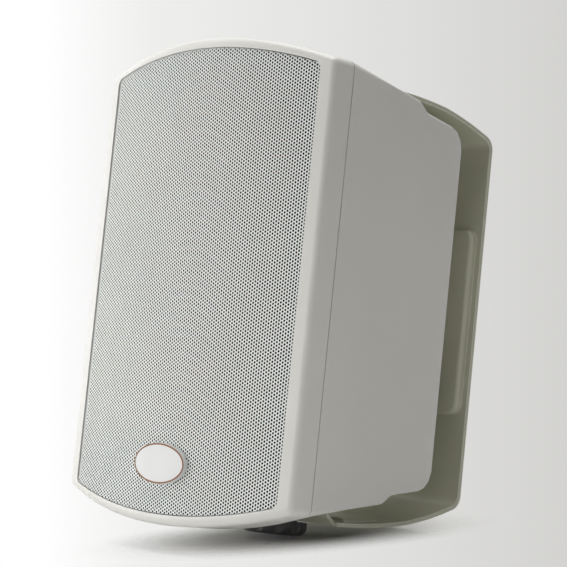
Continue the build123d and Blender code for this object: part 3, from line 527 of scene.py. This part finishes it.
def flexing_ring(node, slot, section):
    """Ring with a section of (depth, radius) points before a rigid node's back, in its place."""
    axis_low, axis_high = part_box("voice_coil")
    centre = Vector((0.0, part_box(node)[1].y, (axis_low.z + axis_high.z) / 2))
    count = len(section)
    rounds = SECTOR_STEPS + 1
    faces = tube_faces(rounds, count, False)
    faces.append(tuple(reversed(range(count))))
    faces.append(tuple(range(SECTOR_STEPS * count, rounds * count)))
    for sector in range(SECTORS):
        points = []
        for step in range(rounds):
            across = outward(2 * math.pi * (sector + step / SECTOR_STEPS) / SECTORS)
            points.extend(centre + MM * (radius * across + Vector((0.0, depth, 0.0)))
                          for depth, radius in section)
        piece = add_mesh(f"{node}_{sector + 1}", points, faces, finishes[slot], None)
        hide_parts(node)
        across = MM * outward(2 * math.pi * (sector + 0.5) / SECTORS)
        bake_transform(piece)


def arch(inner, outer, base, rise):
    """Points of an arch from the inner to the outer radius, forward of its base."""
    half = (outer - inner) / 2
    radius = (half * half + rise * rise) / (2 * rise)
    start = math.asin((radius - rise) / radius)
    points = []
    for step in range(ARCH_STEPS + 1):
        angle = math.pi - start + (2 * start - math.pi) * step / ARCH_STEPS
        points.append((base + radius - rise - radius * math.sin(angle),
                       (inner + outer) / 2 + radius * math.cos(angle)))
    return points


# Sections of the two solids, which they repeat
ROLL_INNER, ROLL_OUTER, ROLL_RISE = 50.9, 57.0, 3.6
SKIN, LIP, EDGE = 0.8, 48.5, 63.9
surround_section = [(-SKIN, LIP)]
surround_section += arch(ROLL_INNER, ROLL_OUTER, -SKIN, ROLL_RISE)
surround_section += [(-SKIN, EDGE), (0.0, EDGE)]
surround_section += reversed(arch(ROLL_INNER + SKIN, ROLL_OUTER - SKIN, 0.0, ROLL_RISE))
surround_section += [(0.0, LIP)]
flexing_ring("woofer_surround", "surround_rubber", surround_section)

SPIDER_INNER, SPIDER_RING, SPIDER_EDGE = 13.5, 35.85, 41.25
FOLDS, FOLD, CLOTH = 10, 1.0, 0.6
spider_line = [
    (-FOLD if fold % 2 else 0.0, SPIDER_INNER + (SPIDER_RING - SPIDER_INNER) * fold / FOLDS)
    for fold in range(FOLDS + 1)
] + [(0.0, SPIDER_EDGE)]
spider_section = [(depth - CLOTH, radius) for depth, radius in spider_line] + spider_line[::-1]
flexing_ring("woofer_spider", "spider_cloth", spider_section)

# Directions of the picture, worked out from the photograph's perspective
RIGHT = Vector((0.68705195, 0.71981069, 0.09915737))
DOWN = Vector((0.01374905, 0.12356269, -0.99224152))
AHEAD = Vector((-0.7264782, 0.68308479, 0.07499727))

# Floor: the speaker leans back a little, so it is tilted under the rear rim of the lower knob.
# The camera sees it only in an oval round that place, where the shadow is.
knob_low, knob_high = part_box("bottom_knob")
FOOT = Vector((0.0, knob_high.y, knob_low.z))
FLOOR_UP = Vector((0.0, -0.13, 0.99))
FLOOR_REACH = 1.5
FLOOR_SIDES = 48
OVAL_SHAPE = (1.0, 0.45, 1.0)
OVAL_MIDDLE = (-0.005, 0.006, 0.0)
OVAL_FULL, OVAL_END = 0.025, 0.08

paper = Nodes("studio_paper")
paper.link(paper.ramp(paper.noise(3.0), (0.3, (0.88, 0.88, 0.87)), (0.7, (0.91, 0.91, 0.90))),
           paper.shader, "Base Color")
paper.shader.inputs["Roughness"].default_value = 0.85
paper.shader.inputs["Specular IOR Level"].default_value = 0.2
narrowed = paper.add("ShaderNodeVectorMath", operation="MULTIPLY")
narrowed.inputs[1].default_value = OVAL_SHAPE
paper.link(paper.place, narrowed, 0)
from_middle = paper.add("ShaderNodeVectorMath", operation="DISTANCE")
from_middle.inputs[1].default_value = OVAL_MIDDLE
paper.link(narrowed.outputs["Vector"], from_middle, 0)
fade = paper.add("ShaderNodeMapRange", interpolation_type="SMOOTHSTEP")
fade.inputs["From Min"].default_value = OVAL_FULL
fade.inputs["From Max"].default_value = OVAL_END
paper.link(from_middle.outputs["Value"], fade, "Value")
path = paper.add("ShaderNodeLightPath")
unseen = paper.add("ShaderNodeMath", operation="MULTIPLY")
paper.link(fade.outputs["Result"], unseen, 0)
paper.link(path.outputs["Is Camera Ray"], unseen, 1)
clear = paper.add("ShaderNodeBsdfTransparent")
paper_mix = paper.add("ShaderNodeMixShader")
paper.link(unseen.outputs["Value"], paper_mix, "Fac")
paper.link(paper.shader.outputs["BSDF"], paper_mix, 1)
paper.link(clear.outputs["BSDF"], paper_mix, 2)
paper.link(paper_mix.outputs["Shader"], paper.tree.nodes["Material Output"], "Surface")

floor_turns = [2 * math.pi * step / FLOOR_SIDES for step in range(FLOOR_SIDES)]
floor_mesh = bpy.data.meshes.new("floor")
floor_mesh.from_pydata(
    [(FLOOR_REACH * math.cos(turn), FLOOR_REACH * math.sin(turn), 0.0) for turn in floor_turns],
    [], [tuple(range(FLOOR_SIDES))])
floor_mesh.materials.append(paper.material)
floor = bpy.data.objects.new("floor", floor_mesh)
floor_tilt = FLOOR_UP.to_track_quat("Z", "Y").to_matrix().to_4x4()
floor.matrix_world = Matrix.Translation(FOOT) @ floor_tilt
scene.collection.objects.link(floor)

# World: faint even light, and for the camera and reflections a backdrop that goes from white on
# the left to pale grey on the right
AMBIENT_COLOUR = (1.0, 0.99, 0.97, 1.0)
AMBIENT_STRENGTH = 0.10
BACKDROP_STOPS = (
    (0.0, (1.0, 1.0, 1.0)),
    (0.20, (0.86, 0.86, 0.85)),
    (1.0, (0.65, 0.645, 0.63)),
)
BACKDROP_LEFT, BACKDROP_RIGHT = -0.115, 0.14

world = bpy.data.worlds.new("studio")
world.use_nodes = True
scene.world = world
sky = world.node_tree
ambient = sky.nodes["Background"]
ambient.inputs["Color"].default_value = AMBIENT_COLOUR
ambient.inputs["Strength"].default_value = AMBIENT_STRENGTH

sky_coord = sky.nodes.new("ShaderNodeTexCoord")
to_right = sky.nodes.new("ShaderNodeVectorMath")
to_right.operation = "DOT_PRODUCT"
to_right.inputs[1].default_value = RIGHT
sky.links.new(sky_coord.outputs["Generated"], to_right.inputs[0])
share_right = sky.nodes.new("ShaderNodeMapRange")
share_right.inputs["From Min"].default_value = BACKDROP_LEFT
share_right.inputs["From Max"].default_value = BACKDROP_RIGHT
sky.links.new(to_right.outputs["Value"], share_right.inputs["Value"])
tones = sky.nodes.new("ShaderNodeValToRGB")
tones.color_ramp.elements.new(0.5)
for element, (position, colour) in zip(tones.color_ramp.elements, BACKDROP_STOPS):
    element.position = position
    element.color = (*colour, 1.0)
sky.links.new(share_right.outputs["Result"], tones.inputs["Fac"])
backdrop = sky.nodes.new("ShaderNodeBackground")
sky.links.new(tones.outputs["Color"], backdrop.inputs["Color"])

sky_path = sky.nodes.new("ShaderNodeLightPath")
shows = sky_path.outputs["Is Camera Ray"]
for ray in ("Is Glossy Ray", "Is Transmission Ray"):
    either = sky.nodes.new("ShaderNodeMath")
    either.operation = "MAXIMUM"
    sky.links.new(shows, either.inputs[0])
    sky.links.new(sky_path.outputs[ray], either.inputs[1])
    shows = either.outputs["Value"]
sky_mix = sky.nodes.new("ShaderNodeMixShader")
sky.links.new(shows, sky_mix.inputs["Fac"])
sky.links.new(ambient.outputs["Background"], sky_mix.inputs[1])
sky.links.new(backdrop.outputs["Background"], sky_mix.inputs[2])
sky.links.new(sky_mix.outputs["Shader"], sky.nodes["World Output"].inputs["Surface"])


# Lamps, all soft: most of the light comes from the left and from above
def area(name, place, target, size, energy):
    lamp = bpy.data.lights.new(name, "AREA")
    lamp.shape = "RECTANGLE"
    lamp.size, lamp.size_y = size
    lamp.energy = energy
    obj = bpy.data.objects.new(name, lamp)
    obj.location = place
    obj.rotation_euler = (Vector(target) - Vector(place)).to_track_quat("-Z", "Y").to_euler()
    obj.visible_camera = False
    scene.collection.objects.link(obj)


CABINET = (0.0, -0.12, 0.0)
area("window", place=(-1.5, -0.75, 0.35), target=CABINET, size=(1.4, 1.4), energy=9.6)
area("low_front", place=(-0.8, -1.2, -0.1), target=CABINET, size=(1.2, 0.3), energy=6.0)
area("card_right", place=(0.5, -0.5, -0.19), target=(0.0, -0.1, 0.0), size=(0.8, 0.25), energy=0.5)
area("overhead", place=(-0.1, -0.2, 1.5), target=CABINET, size=(1.1, 1.1), energy=20.0)

# Camera, at the place worked out from the photograph's perspective
CAMERA_PLACE = Vector((899.10, CREST_Y - 764.12, LIFT - 85.27))
camera_data = bpy.data.cameras.new("camera")
camera_data.sensor_width = 36.0
camera_data.lens = 130.21
camera_data.clip_end = 100.0
camera = bpy.data.objects.new("camera", camera_data)
camera_turn = Matrix((RIGHT, -DOWN, -AHEAD)).transposed().to_4x4()
camera.matrix_world = Matrix.Translation(MM * CAMERA_PLACE) @ camera_turn
scene.collection.objects.link(camera)
scene.camera = camera

scene.view_settings.view_transform = "Standard"
